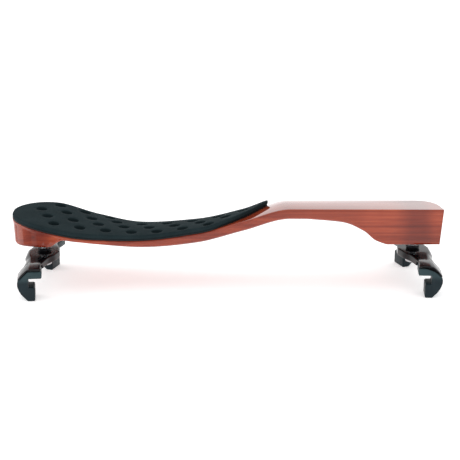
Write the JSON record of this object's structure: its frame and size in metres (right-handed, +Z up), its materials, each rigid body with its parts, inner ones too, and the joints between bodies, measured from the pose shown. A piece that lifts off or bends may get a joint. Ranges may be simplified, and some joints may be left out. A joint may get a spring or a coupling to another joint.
{
  "type": "violin shoulder rest",
  "caption": "S-curved wooden shoulder rest with a perforated pad and swivelling, height-adjustable clawed forks that grip the edges of a violin.",
  "frame": {"origin": "under the middle of the object, on the surface its claws stand on", "axes": "+X along the bar to the shoulder end, +Y across it to the far edge, +Z up"},
  "size_m": [0.2268, 0.0698, 0.044],
  "materials": {
    "wood": "clear gloss lacquer",
    "foam": "closed-cell foam, matte",
    "backing": "adhesive film",
    "plastic": "gloss",
    "rubber": "matte",
    "steel": "polished",
    "black_steel": "black oxide",
    "brass": "machined"
  },
  "bodies": {
    "bar": {"wooden_bar": "wood", "pad_backing": "backing", "foam_pad": "foam", "left_insert": "brass", "right_insert": "brass", "right_spare_insert": "brass"},
    "left_carrier": {"left_bush": "black_steel", "left_retaining_collar": "black_steel"},
    "left_clamp": {"left_fork": "plastic", "left_near_boot": "rubber", "left_far_boot": "rubber"},
    "left_screw": {"left_stud": "steel"},
    "left_nut": {"left_lock_nut": "black_steel"},
    "right_carrier": {"right_bush": "black_steel", "right_retaining_collar": "black_steel"},
    "right_clamp": {"right_fork": "plastic", "right_near_boot": "rubber", "right_far_boot": "rubber"},
    "right_screw": {"right_stud": "steel"},
    "right_nut": {"right_lock_nut": "black_steel"}
  },
  "joints": [
    {"name": "left_height", "type": "slide", "parent": "bar", "child": "left_carrier", "axis": [0, 0, 1], "range_m": [-0.003, 0.0014]},
    {"name": "left_swivel", "type": "hinge", "parent": "left_carrier", "child": "left_clamp", "pos_m": [-0.0961, -0.00337, 0.018], "axis": [0, 0, 1], "range_deg": [-90, 90]},
    {"name": "left_stud_turn", "type": "hinge", "parent": "left_carrier", "child": "left_screw", "pos_m": [-0.0961, -0.00337, 0.018], "axis": [0, 0, 1], "range_deg": [-1570, 740]},
    {"name": "left_nut_turn", "type": "hinge", "parent": "bar", "child": "left_nut", "pos_m": [-0.0961, -0.00337, 0.018], "axis": [0, 0, 1], "range_deg": [-30, 30]},
    {"name": "right_height", "type": "slide", "parent": "bar", "child": "right_carrier", "axis": [0, 0, 1], "range_m": [-0.003, 0.0014]},
    {"name": "right_swivel", "type": "hinge", "parent": "right_carrier", "child": "right_clamp", "pos_m": [0.1, 0.00163, 0.018], "axis": [0, 0, 1], "range_deg": [-90, 90]},
    {"name": "right_stud_turn", "type": "hinge", "parent": "right_carrier", "child": "right_screw", "pos_m": [0.1, 0.00163, 0.018], "axis": [0, 0, 1], "range_deg": [-1570, 740]},
    {"name": "right_nut_turn", "type": "hinge", "parent": "bar", "child": "right_nut", "pos_m": [0.1, 0.00163, 0.018], "axis": [0, 0, 1], "range_deg": [-30, 30]}
  ],
  "couplings": [
    {"joint": "left_stud_turn", "follows": "left_height", "rad_per_m": 8976},
    {"joint": "right_stud_turn", "follows": "right_height", "rad_per_m": 8976}
  ]
}
